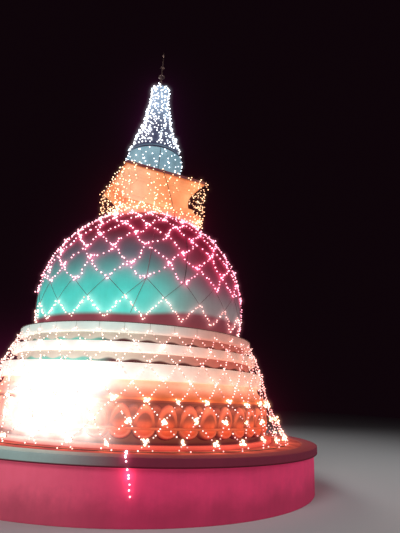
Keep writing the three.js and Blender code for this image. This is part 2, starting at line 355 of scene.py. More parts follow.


# %% [markdown]
# ## The colours of the courses
#
# The dome is teal on the bright side, where the floodlight is painted in, and slate grey across it, where
# shade is painted in. Near the crown, where the pink net is closest, the net's light is painted in as a deep
# red, and the mauve at its foot is the painted shadow of the top ring. The cornices are cream, the lotus coral
# with painted deep red shade between its petals, the harmika apricot and the spire ice blue. The recesses are
# salmon, with a dark band of painted shadow at the foot that thins out wherever the net's crossings,
# thirty-six to the round, light it.

# %% Colours of the dome and the rings
def dome_colours(place, z, bright):
    # Painted light and shade: the teal is floodlight on the bright side, and the grey is shade across it.
    shaded = z.fade(3.6, 4.2, (142, 130, 132), (132, 88, 104))
    body = bright.fade(0.05, 0.8, shaded, (84, 226, 212))
    # Painted light of the pink net near the crown, the deepest red on the shaded side.
    pink_glow = bright.fade(0.0, 0.8, (124, 18, 44), (92, 66, 88))
    upper = (z.ease(3.65, 4.7) * 0.9).mix(body, pink_glow)
    crown = (z.ease(4.5, 5.3) * 0.95).mix(upper, (102, 10, 34))
    # Painted shadow of the top ring on the dome's foot, mauve, reaching higher on the shaded side.
    foot_shadow_top = bright.ease(0.1, 0.8, 3.47, 3.32)
    return (z - foot_shadow_top).fade(-0.07, 0.04, (116, 56, 68), crown)


def white_colours(place, z, bright):
    shaded = z.fade(2.2, 3.1, (238, 190, 168), (202, 142, 130))
    lit = z.fade(2.75, 3.0, (255, 252, 242), (212, 234, 226))
    return bright.fade(0.05, 0.8, shaded, lit)


RING_COLUMNS = 36
RECESS_FOOTS = [spot(name)[1] for name in ("ring_2_wall", "ring_1_wall")]
RECESS_STEP = RECESS_FOOTS[1] - RECESS_FOOTS[0]


def salmon_colours(place, z, bright):
    wall = bright.fade(0.0, 0.85, (166, 98, 88), (180, 184, 174))
    above = (z - RECESS_FOOTS[0]).maths("PINGPONG", RECESS_STEP / 2)
    # Painted shadow along the foot of each recess, dark, and teal on the bright side; it thins where the net's
    # crossings light the wall.
    recess_shadow = bright.fade(0.8, 0.97, (48, 20, 20), (84, 176, 164))
    waves = (azimuth_at(place) * RING_COLUMNS).maths("COSINE")
    middle = RECESS_FOOTS[0] + RECESS_STEP / 2
    between = waves * z.ease(middle - 0.01, middle + 0.01, 0.25, -0.25) + 0.75
    width = bright.ease(0.5, 0.95, 0.075, 0.09) * between
    return (above / width).fade(0.7, 1.3, recess_shadow, wall)


print("recess feet at:", [round(foot, 3) for foot in RECESS_FOOTS])

# %% Colours of the lotus base and the plinth
BOWL = "petal_bowl"


def floodlight_glare(place):
    """How far floodlight is painted in as near white: a little on the bright side, and more where it dazzles.
    """
    return bright_side(place).ease(0.5, 1.0) * 0.4 + dazzled(place) * 0.5


def orange_colours(place, z, bright):
    _, low, high = spot("bell_cove")
    wash = z.fade(low + 0.08, high - 0.02, (214, 108, 62), (240, 178, 150))
    # Painted shade in the recess under the bell's lip.
    lip_shade = z.fade(low + 0.03, low + 0.05, (120, 44, 48), wash)
    # Painted floodlight whitens the wash on the bright side.
    return floodlight_glare(place).mix(lip_shade, (250, 250, 246))


def coral_colours(place, z, bright):
    x, y, _ = place.parts()
    radius = (x * x + y * y) ** 0.5
    foot = z.fade(1.02, 1.22, (226, 86, 80), (230, 108, 70))
    body = z.fade(1.3, 1.62, foot, (234, 112, 90))
    # Painted shade in the sunk bowl of each petal: deep red toward the top, orange lower down.
    bowl = z.fade(1.28, 1.42, (218, 84, 52), (116, 14, 26))
    face = place.stored(BOWL, out=2).mix(body, bowl)
    shaded = radius.fade(3.05, 3.16, (96, 0, 40), face)
    # Painted floodlight whitens the wash on the bright side.
    return floodlight_glare(place).mix(shaded, (250, 248, 242))


def pink_colours(place, z, bright):
    wall = bright.fade(0.6, 1.0, (228, 66, 110), (240, 102, 128))
    # Painted shadow: the wall darkens toward the ground, with a ragged edge.
    ground_shadow = (place.noise(3.1, 4) * 0.3 + 0.28 - z).ease(-0.12, 0.3)
    return (ground_shadow * 0.5).mix(wall, (112, 40, 58))


def grey_colours(place, z, bright):
    slab = bright.fade(0.64, 0.98, (128, 48, 68), (160, 190, 184))
    low = spot("plinth_coping")[1]
    # Painted shadow along the coping's lower edge.
    return z.fade(low + 0.012, low + 0.03, (92, 22, 38), slab)


def paving_colours(place, z, bright):
    return place.noise(2.6, 4).fade(0.3, 0.7, (148, 52, 56), (186, 86, 78))


# %% Colours above the dome
def apricot_colours(place, z, bright):
    block_top = spot("harmika_base_block")[2]
    body = place.noise(1.3, 2).fade(0.3, 0.7, (226, 134, 84), (240, 174, 122))
    # Painted light: paler toward the bright side.
    pale = (bright.ease(0.4, 1.0) * 0.7).mix(body, (236, 196, 164))
    # Painted shade: the block under the sloping course is darker.
    return z.fade(block_top - 0.02, block_top + 0.05, (210, 112, 66), pale)


def maroon_colours(place, z, bright):
    low = spot("harmika_slab")[1]
    return z.fade(low + 0.004, low + 0.012, (226, 136, 84), (118, 58, 68))


def blue_colours(place, z, bright):
    cool = place.noise(2.2, 3).fade(0.3, 0.7, (120, 166, 184), (152, 194, 208))
    neck_top = spot("spire_neck_band")[2]
    dim = z.fade(neck_top - 0.05, neck_top + 0.05, cool, (50, 62, 88))
    return z.fade(neck_top + 0.8, neck_top + 1.7, dim, (138, 166, 192))


def groove_shade_colours(place, z, bright):
    # Painted shade: the neck groove is made dark, as the shadow in it.
    return place.noise(3, 2).mix((38, 44, 60), (56, 64, 84))


# %% Plaster finishes
WASHES = {
    "pink_wash": (pink_colours, 0.32, 0.3),
    "grey_wash": (grey_colours, 0.2, 0.3),
    "paving": (paving_colours, 0.22, 0.1),
    "coral_wash": (coral_colours, 0.34, 0.2),
    "orange_wash": (orange_colours, 0.36, 0.15),
    "salmon_wash": (salmon_colours, 0.3, 0.1),
    "white_wash": (white_colours, 0.5, 0.3),
    "teal_wash": (dome_colours, 0.42, 0.2),
    "apricot_wash": (apricot_colours, 0.42, 0.3),
    "maroon_wash": (maroon_colours, 0.2, 0.3),
    "blue_wash": (blue_colours, 0.4, 0.3),
    "slate_wash": (groove_shade_colours, 0.1, 0.3),
}
for name, choices in WASHES.items():
    add_finish(name, plaster, *choices)

# %% [markdown]
# ## Metal, glass and wire
#
# The pinnacle is brass that has dulled outdoors, with brown tarnish in blotches. The bulbs are small
# glowing globes of glass. The wire has a dark insulated skin, lit by the bulbs beside it.

# %% Metal, glass and wire finishes
def dulled_brass(place):
    """Dulled brass: tarnish is browner and rougher than the bare metal."""
    tarnish = place.noise(14, 5).ease(0.38, 0.66)
    return {
        "Base Color": tarnish.mix((150, 122, 112), (72, 56, 58)),
        "Roughness": tarnish.ease(0, 1, 0.38, 0.7),
        "Metallic": tarnish.ease(0, 1, 1.0, 0.75),
    }


def lit_glass(place, shaded, bright, strength):
    """Glowing glass, paler on the bright side. Each bulb is as bright as its mesh says."""
    share = place.noise(6, 1).ease(0.35, 0.65) * 0.4 + bright_side(place).ease(0.2, 0.75) * 0.6
    shade = share.mix(shaded, bright)
    return {
        "Base Color": shade,
        "Emission Color": shade.blend("MULTIPLY", place.stored(BULB_LIGHT)),
        "Emission Strength": strength,
        "Roughness": 0.15,
    }


def wire_skin(place):
    """Dark insulated wire, dusty in places."""
    dust = place.noise(9, 3).ease(0.4, 0.7)
    return {
        "Base Color": dust.mix((22, 26, 24), (54, 54, 50)),
        "Emission Color": place.stored(BULB_LIGHT),
        "Emission Strength": 0.5,
        "Roughness": dust.ease(0, 1, 0.42, 0.75),
    }


add_finish("aged_brass", dulled_brass)
add_finish("warm_bulb", lit_glass, (255, 158, 154), (255, 222, 204), 3.3)
add_finish("amber_bulb", lit_glass, (255, 186, 138), (255, 222, 178), 4.0)
add_finish("pink_bulb", lit_glass, (255, 134, 160), (255, 186, 198), 3.4)
add_finish("ice_bulb", lit_glass, (222, 242, 255), (250, 250, 255), 4.0)
add_finish("light_wire", wire_skin)

# %% [markdown]
# ## Turning a course
#
# A mason runs a template round a pivot to shape the wet plaster. The Spin operator does the same: an
# outline of radius and height, drawn from the axis out and back, is swept once round. With four steps it
# gives a square course. The arrises are then eased with a small bevel, as a trowel leaves them. Stretches
# that show are cut every few centimetres, so that the light of the bulbs can vary along them.

# %% Turning helpers
ROUND_STEPS = 360
LIGHT_PITCH = 0.05
WELD = 1e-5
SHARP = math.radians(28)
ORIGIN = (0, 0, 0)
UP = (0, 0, 1)


def all_of(bm):
    return bm.verts[:] + bm.edges[:] + bm.faces[:]


def turned(bm, angle, axis="Z"):
    """Turns a bmesh about an axis through the origin."""
    bmesh.ops.rotate(bm, verts=bm.verts, cent=ORIGIN, matrix=Matrix.Rotation(angle, 3, axis))


def eased(bm, width):
    """Rounds the sharp edges of a bmesh a little."""
    arrises = [edge for edge in bm.edges if edge.calc_face_angle(0) > SHARP]
    bmesh.ops.bevel(bm, geom=arrises, offset=width, affect="EDGES", segments=3, profile=0.5, material=-1)


def swept(outline, steps=ROUND_STEPS, ease=0.0):
    """Sweeps (radius, height) points round +Z, from the axis out and back unless they close on themselves."""
    if math.dist(outline[0], outline[-1]) > WELD:
        outline = [(0, outline[0][1]), *outline, (0, outline[-1][1])]
    bm = bmesh.new()
    points = [bm.verts.new((radius, 0, height)) for radius, height in outline]
    lines = [bm.edges.new(pair) for pair in zip(points, points[1:])]
    bmesh.ops.spin(bm, geom=points + lines, cent=ORIGIN, axis=UP, angle=TURN, steps=steps, use_merge=True)
    bmesh.ops.remove_doubles(bm, verts=bm.verts, dist=WELD)
    bmesh.ops.recalc_face_normals(bm, faces=bm.faces)
    if ease:
        eased(bm, ease)
    return bm


def shares(steps):
    """The shares of a length at equal steps along it, from 0 to 1."""
    return [step / steps for step in range(steps + 1)]


def stepped(outline):
    """The same outline with its long stretches cut into short ones."""
    points = [outline[0]]
    for start, end in zip(outline, outline[1:]):
        cuts = max(1, round(math.dist(start, end) / LIGHT_PITCH))
        points += [tuple(Vector(start).lerp(Vector(end), share)) for share in shares(cuts)[1:]]
    return points


def course(radius, low, high, cover=0.3):
    """The outline of a disc's edge, and of its faces as far in as the cover, cut into short stretches."""
    inner = radius - cover
    return stepped([(inner, low), (radius, low), (radius, high), (inner, high)])


def squared(outline, ease=0.0):
    """A course of square plan: the outline gives half widths, and the corners lie on the diagonals."""
    bm = swept([(half * math.sqrt(2), height) for half, height in outline], steps=4)
    turned(bm, math.pi / 4)
    if ease:
        eased(bm, ease)
    cuts = int(max(half for half, _ in outline) / LIGHT_PITCH)
    for axis in (Vector((1, 0, 0)), Vector((0, 1, 0))):
        for cut in range(-cuts, cuts + 1):
            bmesh.ops.bisect_plane(bm, geom=all_of(bm), plane_co=axis * cut * LIGHT_PITCH, plane_no=axis)
    return bm


# %% Making a piece
SMOOTH_BELOW = math.radians(38)
PLASTER_POWER = 0.006
lit_pieces = []


def shown(name, mesh, slot, replaces=()):
    """Puts a mesh in the scene as a piece of the stupa."""
    mesh.materials.clear()
    mesh.materials.append(FINISHES[slot])
    piece = bpy.data.objects.new(name, mesh)
    scene.collection.objects.link(piece)
    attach(piece, "root")
    if replaces:
        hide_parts(*replaces)
    print(f"{name}: {len(mesh.polygons)} faces")
    return piece


def finished(name, bm, slot, node):
    """Makes a bmesh into a piece that stands in for a node: smooth except at its sharp edges."""
    mesh = bpy.data.meshes.new(name)
    bm.to_mesh(mesh)
    bm.free()
    mesh.shade_smooth()
    mesh.set_sharp_from_angle(angle=SMOOTH_BELOW)
    lit_pieces.append((shown(name, mesh, slot, [node]), PLASTER_POWER))


def plastered(nodes, slot, ease=0.0, cover=0.3):
    """Plain round courses, each at its node's size."""
    for node in nodes:
        finished(node + "_plaster", swept(course(*spot(node), cover), ease=ease), slot, node)


# %% [markdown]
# ## The plinth
#
# A round wall of plastered brick, topped by a ring of coping that throws the rain clear of it. The coping's
# underside has a drip groove, and its top falls a little to the outside. The terrace inside it is a cement
# floor.

# %% Plinth
wall_radius = spot("plinth_wall")[0]
coping_radius, coping_low, coping_top = spot("plinth_coping")
paving_radius, _, paving_top = spot("terrace_paving")
coping_inside = paving_radius + 0.0003
DRIP = 0.012
coping_outline = [
    (coping_inside, coping_low),
    (wall_radius + 0.02, coping_low),
    (wall_radius + 0.026, coping_low + DRIP),
    (wall_radius + 0.044, coping_low + DRIP),
    (wall_radius + 0.05, coping_low),
    (coping_radius, coping_low),
    (coping_radius, coping_top - 0.006),
    (coping_inside, coping_top),
    (coping_inside, coping_low),
]
plastered(["plinth_wall"], "pink_wash", 0.012, 0.1)
finished("plinth_coping_slab", swept(stepped(coping_outline), ease=0.005), "grey_wash", "plinth_coping")
finished("terrace_cement", swept(course(*spot("terrace_paving"), 0.8)), "paving", "terrace_paving")

# %% [markdown]
# ## The lotus base
#
# Two rows of petals meet at a plain band: the lower row turned down, the upper row turned up with a second
# row showing between its petals. A petal is an egg with a raised rim round a sunk bowl. It starts as a
# sphere with its pole facing out, so that its rings follow the petal's edge, and insetting the front cap
# sinks the bowl. Spin with duplicates copies it round the core. A value stored on the mesh says where the
# bowl is, so that painted shade can darken the wash there.

# %% Lotus petals
PETALS = 48
CORE_RADIUS = 2.96


def petal(width, height, depth, lean, radius, middle, low, high):
    """One petal on the core, cut flat at the two ends of its row."""
    bm = bmesh.new()
    mark = bm.verts.layers.float.new(BOWL)
    bmesh.ops.create_uvsphere(bm, u_segments=20, v_segments=12, radius=1)
    cap = [face for face in bm.faces if face.calc_center_median().z > 0.6]
    bmesh.ops.inset_region(bm, faces=cap, thickness=0.06, depth=-0.09)
    cap = [face for face in cap if face.is_valid]
    bmesh.ops.inset_region(bm, faces=cap, thickness=0.14, depth=-0.05)
    for vert in {vert for face in cap if face.is_valid for vert in face.verts}:
        vert[mark] = 1.0
    turned(bm, math.pi / 2, "X")
    bmesh.ops.scale(bm, verts=bm.verts, vec=(width / 2, depth / 2, height / 2))
    turned(bm, lean, "X")
    bmesh.ops.translate(bm, verts=bm.verts, vec=(0, -radius, middle))
    for cut, way in ((low, -1), (high, 1)):
        bmesh.ops.bisect_plane(bm, geom=all_of(bm), plane_co=(0, 0, cut), plane_no=(0, 0, way),
                               clear_outer=True)
        rim = [edge for edge in bm.edges if edge.is_boundary]
        if rim:
            bmesh.ops.contextual_create(bm, geom=rim)
    return bm


def petal_course(name, node, rows):
    """A round core that carries rows of petals, each row given by its turn and its petal's sizes."""
    _, low, high = spot(node)
    bm = swept(course(CORE_RADIUS, low, high, 0.05))
    bm.verts.layers.float.new(BOWL)
    for turn, *sizes in rows:
        one = petal(*sizes, low, high)
        turned(one, turn)
        bmesh.ops.spin(one, geom=all_of(one), cent=ORIGIN, axis=UP, angle=TURN * (PETALS - 1) / PETALS,
                       steps=PETALS - 1, use_duplicate=True)
        row = bpy.data.meshes.new(name)
        one.to_mesh(row)
        one.free()
        bm.from_mesh(row)
        bpy.data.meshes.remove(row)
    finished(name, bm, "coral_wash", node)


lower_high = spot("lower_lotus_petals")[2]
_, upper_low, upper_high = spot("upper_lotus_petals")
upper_reach = 2 * (upper_high - upper_low) - 0.02
lean_in, lean_out = math.radians(-14), math.radians(12)
petal_course("lower_petal_row", "lower_lotus_petals", [
    (0, 0.415, 0.33, 0.4, lean_in, CORE_RADIUS + 0.04, lower_high),
])
petal_course("upper_petal_row", "upper_lotus_petals", [
    (0, 0.415, upper_reach, 0.36, lean_out, CORE_RADIUS + 0.03, upper_low),
    (TURN / PETALS / 2, 0.38, upper_reach, 0.3, lean_out, CORE_RADIUS - 0.01, upper_low),
])
plastered(["lotus_foot_course", "lotus_waist_band"], "coral_wash", 0.012)

# %% [markdown]
# ## The bell and the three rings
#
# Over the lotus comes a bell-shaped moulding, and on it three rings, each a recessed wall under a
# projecting cornice. The bell's outline is a smooth curve through a few stations, and the others are plain.

# %% Bell and rings
def curve_through(stations, steps):
    """Points of a smooth curve, of the Catmull-Rom kind, through (radius, height) stations."""
    spans = len(stations) - 1
    points = []
    for step in range(steps + 1):
        at = spans * step / steps
        span = min(int(at), spans - 1)
        share = at - span
        nearest = [min(max(span + along, 0), spans) for along in (-1, 0, 1, 2)]
        before, start, end, after = [Vector(stations[index]) for index in nearest]
        pull_in = (end - before) / 2
        pull_out = (after - start) / 2
        cubic = 2 * start - 2 * end + pull_in + pull_out
        square = -3 * start + 3 * end - 2 * pull_in - pull_out
        points.append(tuple(((cubic * share + square) * share + pull_in) * share + start))
    return points


_, bell_low, bell_top = spot("bell_cove")
cornice_3 = spot("ring_3_cornice")[0]
BELL_LIP = bell_low + 0.035
bell_flare = curve_through([
    (cornice_3 + 0.13, BELL_LIP + 0.05),
    (cornice_3 + 0.06, BELL_LIP + 0.13),
    (cornice_3 - 0.06, bell_top - 0.12),
    (cornice_3 - 0.095, bell_top),
], 16)
bell_outline = [
    (CORE_RADIUS + 0.02, bell_low),
    (CORE_RADIUS + 0.02, BELL_LIP),
    *stepped([(CORE_RADIUS + 0.05, BELL_LIP), (cornice_3 + 0.115, BELL_LIP)]),
    *bell_flare,
]
finished("bell_plaster", swept(bell_outline, ease=0.008), "orange_wash", "bell_cove")
plastered([f"ring_{ring}_cornice" for ring in (1, 2, 3)], "white_wash", 0.024)
plastered([f"ring_{ring}_wall" for ring in (1, 2)], "salmon_wash", 0.0, 0.02)

# %% [markdown]
# ## The dome
#
# A bubble dome is most of a ball: it bulges past its own foot. Its outline is one arc, worked out from the
# centre and radius, from the top ring to the pole. The harmika's base block sinks into it.

# %% Dome
DOME_RADIUS, dome_low, _ = spot("dome")
DOME_CENTRE = 3.815
DOME_STEPS = 84
foot_angle = math.asin((dome_low - DOME_CENTRE) / DOME_RADIUS)
arc = [foot_angle + (math.pi / 2 - foot_angle) * share for share in shares(DOME_STEPS)]
dome_outline = [(DOME_RADIUS * math.cos(at), DOME_CENTRE + DOME_RADIUS * math.sin(at)) for at in arc]
finished("dome_plaster", swept(dome_outline), "teal_wash", "dome")

# %% [markdown]
# ## The harmika
#
# The square part: a plain block, a sloping course on it, a body whose four sides are hollowed in a long
# curve, and a thin slab. All are square sweeps. The hollow has many short steps, so that it shades as one
# curve.

# %% Harmika
block_half = spot("harmika_base_block")[0]
_, course_low, course_top = spot("harmika_lower_course")
_, body_low, body_top = spot("harmika_hollow_body")
slab_half, _, slab_top = spot("harmika_slab")
WAIST = 0.77
waist_height = body_low + 0.165
slope = stepped([(WAIST + 0.165, course_low), (WAIST + 0.09, course_top)])
hollow = curve_through([
    (WAIST + 0.02, body_low),
    (WAIST, waist_height - 0.06),
    (WAIST, waist_height + 0.06),
    (WAIST + 0.04, waist_height + 0.2),
    (slab_half - 0.095, body_top - 0.07),
    (slab_half - 0.04, body_top),
], 24)
harmika = {
    "base_block": ("block", course(*spot("harmika_base_block")), 0.012, "apricot_wash"),
    "lower_course": ("course", slope, 0.01, "apricot_wash"),
    "hollow_body": ("body", hollow, 0.0, "apricot_wash"),
    "slab": ("slab", course(*spot("harmika_slab"), 0.5), 0.01, "maroon_wash"),
}
for node, (name, outline, ease, slot) in harmika.items():
    finished(f"harmika_{name}_plaster", squared(outline, ease), slot, f"harmika_{node}")

# %% [markdown]
# ## Drum, spire and pinnacle
#
# The drum swells upward to a round shoulder. A groove, dark with painted shade, parts it from the spire, a
# cone of ten rounded rings that narrows fast at its foot and slowly above. Each ring's outline is a flat arc
# between two grooves. The pinnacle is turned metal: socket, stem, dish, rod, ball and a pointed crystal.

# %% Drum and spire
SPIRE_STEPS = 96
DRUM_FOOT = 0.62
drum_radius, drum_low, drum_top = spot("spire_drum")
neck_radius = spot("spire_neck_band")[0]
swell = curve_through([
    (DRUM_FOOT, drum_low),
    (drum_radius - 0.065, drum_low + 0.41),
    (drum_radius - 0.008, drum_top - 0.17),
    (drum_radius, drum_top - 0.045),
], 20)
drum_side = [*swell, (drum_radius - 0.008, drum_top)]
drum_outline = [*drum_side, (neck_radius, drum_top)]
groove = course(*spot("spire_neck_band"), 0.05)
finished("drum_plaster", swept(drum_outline, SPIRE_STEPS, 0.01), "blue_wash", "spire_drum")
# The groove's dark finish is painted shade.
finished("neck_groove", swept(groove, SPIRE_STEPS), "slate_wash", "spire_neck_band")

RINGS = 10
RING_GROOVE = 0.022
SPIRE_TIP = 0.215
SPIRE_TAPER = 1.8
SPIRE_FOOT, spire_low, _ = spot("spire_ring_1")
spire_top = spot("spire_ring_10")[2]
ring_height = (spire_top - spire_low) / RINGS


def spire_radius(height):
    """The spire's outer radius at a height."""
    share = min(max((height - spire_low) / (spire_top - spire_low), 0), 1)
    return SPIRE_TIP + (SPIRE_FOOT - SPIRE_TIP) * (1 - share) ** SPIRE_TAPER


for ring in range(RINGS):
    outline = []
    for share in shares(8):
        height = spire_low + ring * ring_height + ring_height * share
        outline.append((spire_radius(height) - RING_GROOVE * abs(2 * share - 1) ** 3, height))
    node = f"spire_ring_{ring + 1}"
    finished(node + "_plaster", swept(outline, SPIRE_STEPS), "blue_wash", node)

cap_radius, cap_low, cap_top = spot("spire_cap")
cap_outline = [(cap_radius, cap_low), (cap_radius, cap_low + 0.035), (cap_radius - 0.07, cap_top)]
finished("spire_cap_plaster", swept(cap_outline, SPIRE_STEPS, 0.01), "blue_wash", "spire_cap")

# %% Pinnacle
METAL_STEPS = 32
socket_radius, socket_low, socket_top = spot("pinnacle_socket")
stem_radius = spot("pinnacle_stem")[0]
dish_radius, dish_low, dish_top = spot("pinnacle_dish")
ball_radius, ball_low, ball_top = spot("pinnacle_ball")
crystal_radius, crystal_low, crystal_top = spot("pinnacle_crystal")
ball_angles = [math.pi * (share - 0.5) for share in shares(12)]
ball_half = (ball_top - ball_low) / 2
metal = {
    "socket": [(socket_radius, socket_low), (socket_radius, socket_low + 0.008),
               (socket_radius - 0.017, socket_low + 0.035), (0.055, socket_low + 0.06), (0.04, socket_top)],
    "dish": [(stem_radius + 0.004, dish_low), (dish_radius, dish_low + 0.03),
             (dish_radius, dish_low + 0.038), (stem_radius, dish_top)],
    "ball": [(ball_radius * math.cos(at), ball_low + ball_half * (1 + math.sin(at))) for at in ball_angles],
    "crystal": [(0.02, crystal_low), (crystal_radius, crystal_low + 0.07),
                (crystal_radius * 0.55, crystal_low + 0.14), (0, crystal_top)],
}
for rod in ("stem", "lower_rod", "upper_rod"):
    radius, low, high = spot("pinnacle_" + rod)
    metal[rod] = [(radius, low), (radius, high)]
for name, outline in metal.items():
    node = "pinnacle_" + name
    finished(node + "_metal", swept(outline, METAL_STEPS, 0.0015), "aged_brass", node)

# %% [markdown]
# ## Strings of lights
#
# A string is a thin wire with small globes along it. Thousands of globes are one shape repeated, so each
# net is made from arrays: one low icosphere and one short socket, copied to every place along the strings
# and joined into two meshes. The wires are curves with a thin bevel, turned into meshes. Such nets are hung
# by hand, so no two gaps are alike, and each bulb sits a little off its wire and has its own brightness.

# %% Places along a string
UNEVEN = 0.4
TIPPED = 0.6
draw = random.Random(7)


def on_turn(angle, radius, height):
    """A place at an azimuth from the front, a radius and a height."""
    return Vector((radius * math.sin(angle), -radius * math.cos(angle), height))


def ring_wire(radius, height, steps=144):
    """A path all the way round."""
    return [on_turn(TURN * share, radius, height) for share in shares(steps)]


def slack(tier, slacks):
    """How far a string hangs down at a place partway between two crossings."""
    return 4 * slacks[int(tier)] * (tier % 1) * (1 - tier % 1)


def walked(path, pitch):
    """Places along a path at an uneven pitch, starting half a pitch in."""
    places = []
    due = pitch / 2
    for start, end in zip(path, path[1:]):
        span = (end - start).length
        while due <= span:
            places.append(start.lerp(end, due / span))
            due += pitch * draw.uniform(1 - UNEVEN, 1 + UNEVEN)
        due -= span
    return places


def any_way(spread):
    return Vector([draw.uniform(-spread, spread) for _ in range(3)])


def placed(place, stray):
    """A placing for a globe: a little off its wire, pointing outward but tipped some way at random."""
    out = Vector((place.x, place.y, 0)).normalized()
    way = out + any_way(TIPPED)
    beside = place + any_way(stray) + out * 0.4 * stray
    return Matrix.Translation(beside) @ way.to_track_quat("Z", "Y").to_matrix().to_4x4()


print("a quarter turn to the right of the front:", on_turn(TURN / 4, 1, 0))

# %% Globes, sockets and wires
BULB_RADIUS = 0.0165
WIRE_RADIUS = 0.0012
TIE_RADIUS = 0.0045
HOOP_RADIUS = 0.007
WIRE_POWER = 0.003


def bulb_shapes(radius):
    """The corners and faces of a glass globe, a little longer than wide, and of the socket behind it."""
    globe, holder = bmesh.new(), bmesh.new()
    bmesh.ops.create_icosphere(globe, subdivisions=1, radius=radius)
    bmesh.ops.scale(globe, verts=globe.verts, vec=(1, 1, 1.2))
    bmesh.ops.create_cone(holder, cap_ends=True, segments=5, radius1=0.4 * radius, radius2=0.5 * radius,
                          depth=0.9 * radius)
    bmesh.ops.translate(holder, verts=holder.verts, vec=(0, 0, -1.3 * radius))
    shapes = []
    for bm in (globe, holder):
        bm.verts.ensure_lookup_table()
        corners = [vert.co.copy() for vert in bm.verts]
        shapes.append((corners, [[vert.index for vert in face.verts] for face in bm.faces]))
        bm.free()
    return shapes


def stored_colours(mesh, colours):
    """Stores a colour, or a grey, on each corner of a mesh."""
    layer = mesh.color_attributes.new(BULB_LIGHT, "FLOAT_COLOR", "POINT")
    opaque = np.ones((len(colours), 4))
    opaque[:, :3] = colours
    layer.data.foreach_set("color", opaque.ravel())


def copies(name, shape, placings, slot):
    """One mesh that holds a copy of a shape at each placing, as a piece."""
    corners, faces = shape
    starts = range(0, len(corners) * len(placings), len(corners))
    all_corners = [placing @ corner for placing in placings for corner in corners]
    all_faces = [[start + index for index in face] for start in starts for face in faces]
    mesh = bpy.data.meshes.new(name)
    mesh.from_pydata(all_corners, [], all_faces)
    mesh.shade_smooth()
    shown(name, mesh, slot).visible_diffuse = False
    return mesh


def wires(name, paths, radius=WIRE_RADIUS, lit=True):
    """Thin wires along the paths, as one mesh. Lit ones take the light of the bulbs."""
    data = bpy.data.curves.new(name, "CURVE")
    data.dimensions = "3D"
    data.bevel_depth = radius
    data.bevel_resolution = 0
    data.use_fill_caps = True
    for path in paths:
        spline = data.splines.new("POLY")
        spline.points.add(len(path) - 1)
        for point, place in zip(spline.points, path):
            point.co = (*place, 1)
    source = bpy.data.objects.new(name + "_curve", data)
    scene.collection.objects.link(source)
    bpy.context.view_layer.update()
    mesh = bpy.data.meshes.new_from_object(source.evaluated_get(bpy.context.evaluated_depsgraph_get()))
    mesh.name = name
    bpy.data.objects.remove(source)
    bpy.data.curves.remove(data)
    piece = shown(name, mesh, "light_wire")
    if lit:
        lit_pieces.append((piece, WIRE_POWER))
    length = sum(math.dist(*ends) for path in paths for ends in zip(path, path[1:]))
    print(f"{name}: {length:.1f} m")


print("corners of a globe and of a socket:", [len(corners) for corners, _ in bulb_shapes(BULB_RADIUS)])

# %% A string of lights
BULB_PITCH = 0.077
STAND_OFF = 0.018
BULBS_A_KNOT = 3
KNOT_SPREAD = 0.04
GLOWS = {
    "warm_bulb": (0.31, 0.14, 0.1),
    "amber_bulb": (0.4, 0.22, 0.09),
    "pink_bulb": (1.0, 0.08, 0.22),
    "ice_bulb": (0.1, 0.132, 0.155),
}
bulb_places = []
bulb_glows = []


def garland(name, paths, slot, pitch=BULB_PITCH, radius=BULB_RADIUS, stray=0.01, knots=(), glow=None,
            bright=(0.45, 1.1)):
    """A net or run of lights: bulbs along the paths and bunched at the knots, and the wires."""
    places = [place for path in paths for place in walked(path, pitch)]
    places += [knot + any_way(KNOT_SPREAD) for knot in knots for _ in range(BULBS_A_KNOT)]
    placings = [placed(place, stray) for place in places]
    globe, holder = bulb_shapes(radius)
    globes = copies(name + "_bulbs", globe, placings, slot)
    copies(name + "_sockets", holder, placings, "light_wire")
    if paths:
        wires(name + "_wires", paths)
    levels = [draw.uniform(*bright) for _ in places]
    stored_colours(globes, np.repeat(levels, len(globe[0]))[:, None])
    bulb_places.extend(placing.translation.copy() for placing in placings)
    bulb_glows.extend([channel * level for channel in glow or GLOWS[slot]] for level in levels)
    print(f"{name}: {len(places)} bulbs")


# %% [markdown]
# ## The nets on the dome
#
# Two sets of slanting strings cross in diamonds, twenty to the round. Each string hangs slack between
# crossings, and a slow drift, the same for both sets, moves each crossing a little. A zigzag of lights runs
# round the foot of the dome, and bare wires tie its peaks to the lowest crossings. On two sides the net's
# loose ends hang beside it. One more bare wire runs down the dome's front.

# %% Dome strings
DOME_COLUMNS = 20
HALF_COLUMN = TURN / DOME_COLUMNS / 2
NET_START = math.radians(5.0)
NET_STEP = math.radians(8.8)
NET_SAG = 0.17
NET_LEVELS = 7
NET_POINTS = 8
NET_RADIUS = DOME_RADIUS + STAND_OFF
NET_FOOT = DOME_CENTRE + DOME_RADIUS * math.sin(NET_START)
ZIGZAG_VALLEY = 3.22
ZIGZAG_PEAK = 3.63
FRONT_WIRE = [(math.radians(-15.5), 5.15), (math.radians(-18.1), 4.04), (math.radians(-23.9), 3.32)]


def dome_place(angle, tier):
    """A place on the net, from its azimuth and its number of tiers above the lowest crossings."""
    drift = 0.09 * math.sin(9 * angle + 2.3 * tier) + 0.08 * math.sin(13 * angle - tier)
    swing = 0.2 * HALF_COLUMN * math.sin(5 * angle + 3.1 * tier)
    latitude = NET_START + NET_STEP * (tier + drift)
    height = DOME_CENTRE + NET_RADIUS * math.sin(latitude)
    return on_turn(angle + swing, NET_RADIUS * math.cos(latitude), height)


def dome_strand(column, way):
    """A string from a lowest crossing up to the harmika, leaning to one side, slack between crossings."""
    path = []
    slacks = [NET_SAG * draw.uniform(0.3, 1.7) for _ in range(NET_LEVELS)]
    for step in range(NET_LEVELS * NET_POINTS):
        tier = step / NET_POINTS
        place = dome_place((2 * column + way * tier) * HALF_COLUMN, tier - slack(tier, slacks))
        if max(abs(place.x), abs(place.y)) <= block_half + 0.03:
            break
        path.append(place)
    return path


